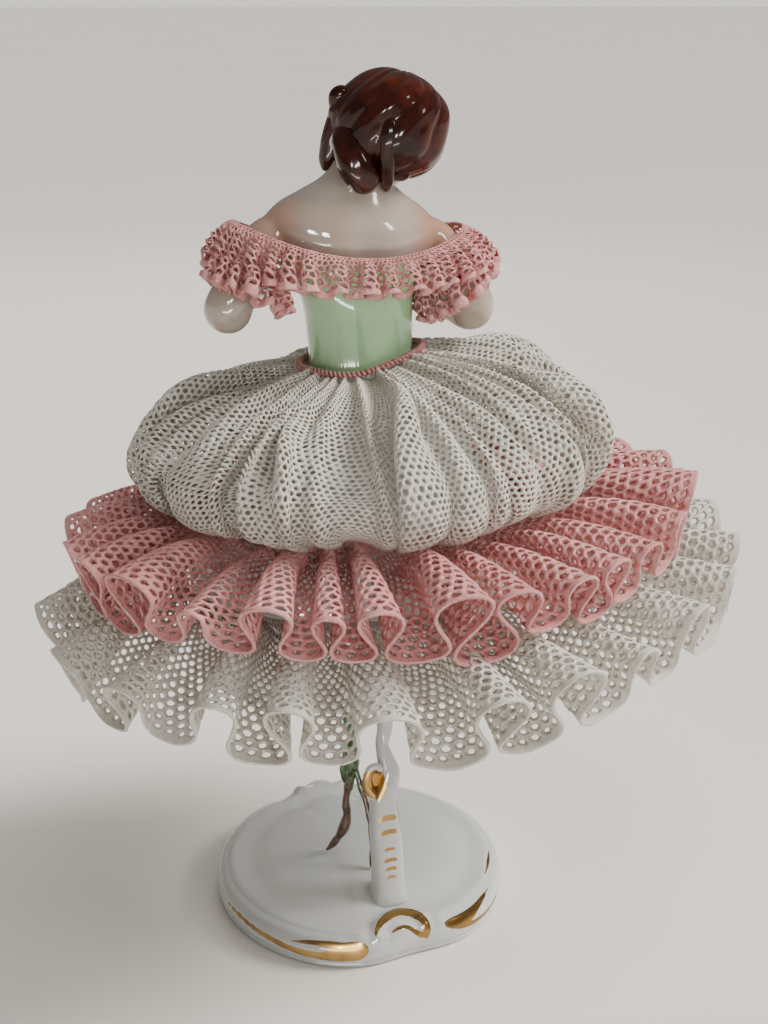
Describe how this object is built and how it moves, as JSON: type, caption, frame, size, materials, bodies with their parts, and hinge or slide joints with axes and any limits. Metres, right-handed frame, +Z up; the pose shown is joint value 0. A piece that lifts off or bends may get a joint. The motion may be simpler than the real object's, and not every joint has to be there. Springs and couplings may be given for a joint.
{
  "type": "dresden lace figurine",
  "caption": "Glazed porcelain lady in tiered, gathered lace skirts with an off-shoulder lace collar, held up by a rococo scroll on a low domed oval base.",
  "frame": {"origin": "centre of the base's flat underside", "axes": "+Z up through the lady, -Y the way her chest faces, +X towards her left hand side"},
  "size_m": [0.1371, 0.1055, 0.1643],
  "materials": {
    "white_glaze": "white glossy glaze with fine gold strokes",
    "leaf_glaze": "glossy leaf green fading to brown",
    "painted_porcelain": "glossy glaze over painted skin, red-brown hair and an apple green bodice",
    "white_lace": "thinly glazed off-white porcelain net",
    "pink_lace": "thinly glazed salmon pink porcelain net",
    "pink_braid": "thinly glazed pink porcelain cord"
  },
  "bodies": {
    "root": {"rococo_base": "white_glaze", "leafy_twig": "leaf_glaze", "lady": "painted_porcelain", "overskirt": "white_lace", "pink_flounce": "pink_lace", "white_flounce": "white_lace", "waist_braid": "pink_braid", "lace_collar": "pink_lace", "left_sleeve_frill": "pink_lace", "right_sleeve_frill": "pink_lace"}
  },
  "joints": []
}
